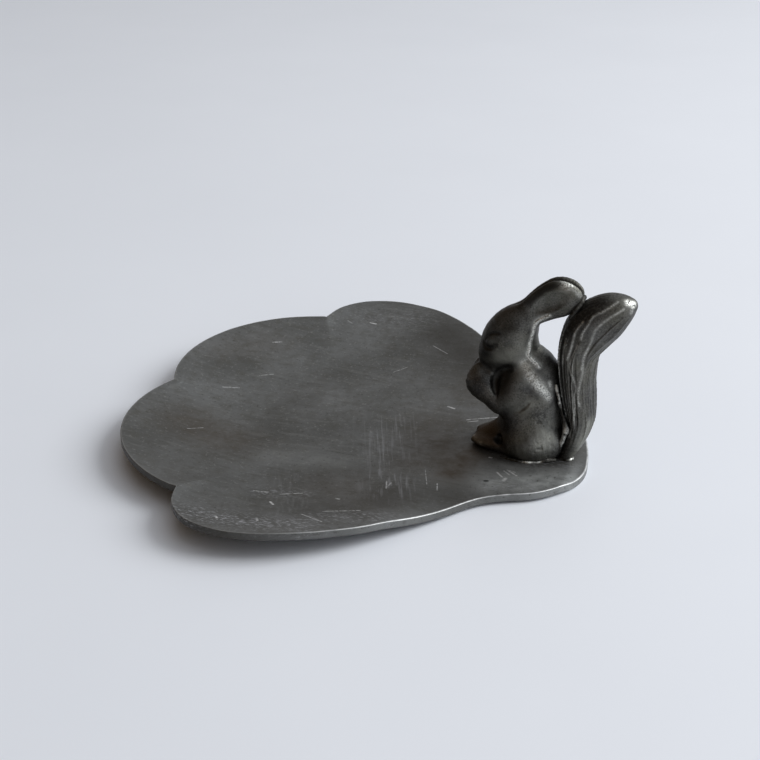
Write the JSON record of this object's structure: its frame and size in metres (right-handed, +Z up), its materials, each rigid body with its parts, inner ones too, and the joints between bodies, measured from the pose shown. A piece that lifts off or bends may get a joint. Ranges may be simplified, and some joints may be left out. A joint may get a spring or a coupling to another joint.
{
  "type": "trinket dish",
  "caption": "Leaf-shaped cast pewter trinket dish with a squirrel figure soldered to the pad at its stem end.",
  "frame": {"origin": "middle of the object's plan at the height of the table it rests on", "axes": "+Z up; the leaf's mirror line runs along X with the squirrel at +X, facing -X; Y across the leaf"},
  "size_m": [0.0737, 0.081, 0.0284],
  "materials": {
    "tray_pewter": "aged grey pewter, satin from handling, scratched, brighter along the rim",
    "squirrel_pewter": "dark antiqued pewter, grainy in the hollows, burnished on the high spots",
    "tail_pewter": "dark antiqued pewter with lighter crests on the carved strands",
    "solder": "pale tin solder, lumpy, partly oxidised"
  },
  "bodies": {
    "root": {"tray": "tray_pewter", "squirrel": "squirrel_pewter", "tail": "tail_pewter", "seat_solder_left": "solder", "seat_solder_right": "solder", "tail_foot_solder": "solder", "back_solder_left": "solder", "back_solder_right": "solder", "ear_solder": "solder"}
  },
  "joints": []
}
